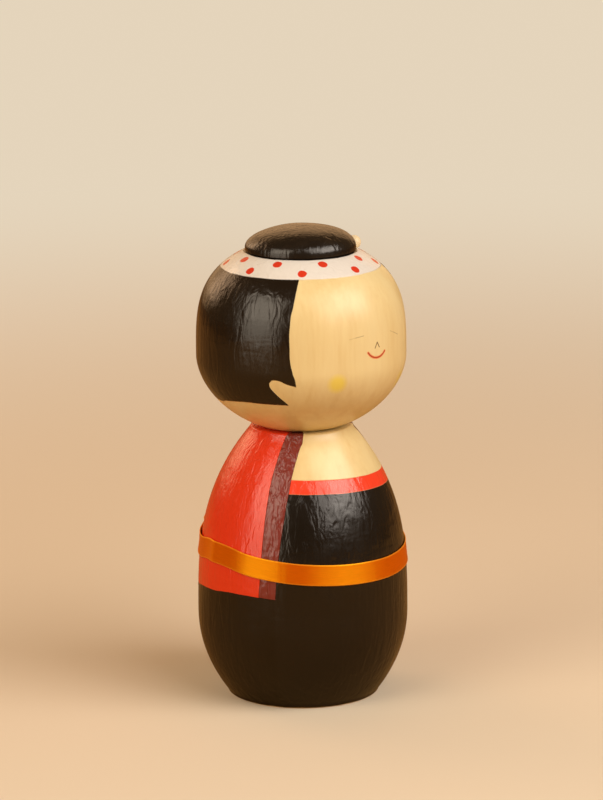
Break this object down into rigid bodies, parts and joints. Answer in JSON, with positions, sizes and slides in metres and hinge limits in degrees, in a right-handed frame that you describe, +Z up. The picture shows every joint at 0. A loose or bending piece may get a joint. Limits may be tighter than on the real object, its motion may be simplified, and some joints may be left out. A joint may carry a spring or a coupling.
{
  "type": "kokeshi doll",
  "caption": "Turned wooden kokeshi doll with a round head that turns on a dowel, a flat hair bun with a bead, and a satin ribbon tied at the waist.",
  "frame": {"origin": "centre of the flat base, on the axis that the body and the head are turned about", "axes": "+Z up along the turning axis; the doll faces -Y, and its left hand side is +X"},
  "size_m": [0.065, 0.068, 0.1464],
  "materials": {
    "body_wood": "painted black, orange-red and plum over pale wood, satin clear lacquer",
    "head_wood": "pale turned wood with painted hair, face and dotted band, satin clear lacquer",
    "bun_wood": "painted black, satin clear lacquer",
    "bead_wood": "painted cream, satin clear lacquer",
    "dowel_wood": "bare birch, sanded",
    "ribbon": "orange polyester satin with woven edges"
  },
  "bodies": {
    "doll_body": {"body": "body_wood", "obi_ribbon": "ribbon", "obi_knot": "ribbon", "obi_loop_right": "ribbon", "obi_loop_left": "ribbon", "obi_tail_right": "ribbon", "obi_tail_left": "ribbon"},
    "doll_head": {"head": "head_wood", "neck_dowel": "dowel_wood", "hair_bun": "bun_wood", "bun_dowel": "dowel_wood", "hair_bead": "bead_wood", "bead_pin": "dowel_wood"}
  },
  "joints": [
    {"name": "head_turn", "type": "hinge", "parent": "doll_body", "child": "doll_head", "pos_m": [0, 0, 0.0745], "axis": [0, 0, 1], "continuous": true}
  ]
}
